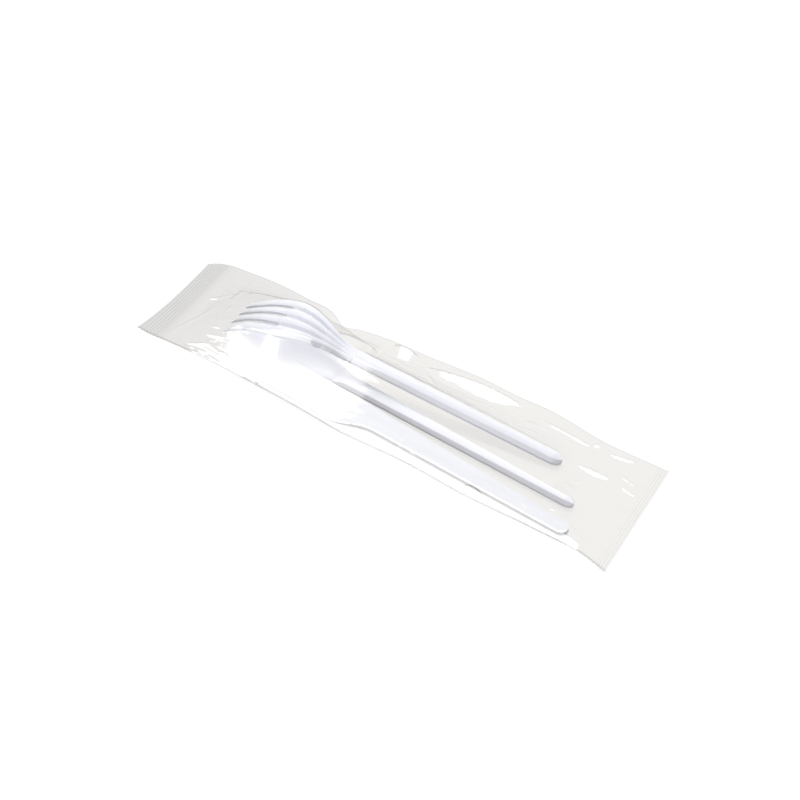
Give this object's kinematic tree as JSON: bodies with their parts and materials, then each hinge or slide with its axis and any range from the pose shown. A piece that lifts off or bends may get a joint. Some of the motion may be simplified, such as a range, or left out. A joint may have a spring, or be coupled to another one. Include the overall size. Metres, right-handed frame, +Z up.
{
  "type": "wrapped disposable cutlery set",
  "caption": "Moulded plastic fork, spoon and knife laid over one another and sealed in a clear film flow wrap with crimped ends.",
  "frame": {"origin": "centre of the bounding box in plan, on the underside of the film that lies on the table", "axes": "+X along the pack towards the handles' ends, +Y across it from the knife's side to the fork's side, +Z up"},
  "size_m": [0.2408, 0.0625, 0.0216],
  "materials": {
    "clear_film": "clear glossy film",
    "fork_plastic": "white semi-gloss moulded plastic",
    "spoon_plastic": "white semi-gloss moulded plastic",
    "knife_plastic": "white semi-gloss moulded plastic"
  },
  "bodies": {
    "root": {"film_wrapper": "clear_film", "fork": "fork_plastic", "spoon": "spoon_plastic", "knife": "knife_plastic"}
  },
  "joints": []
}
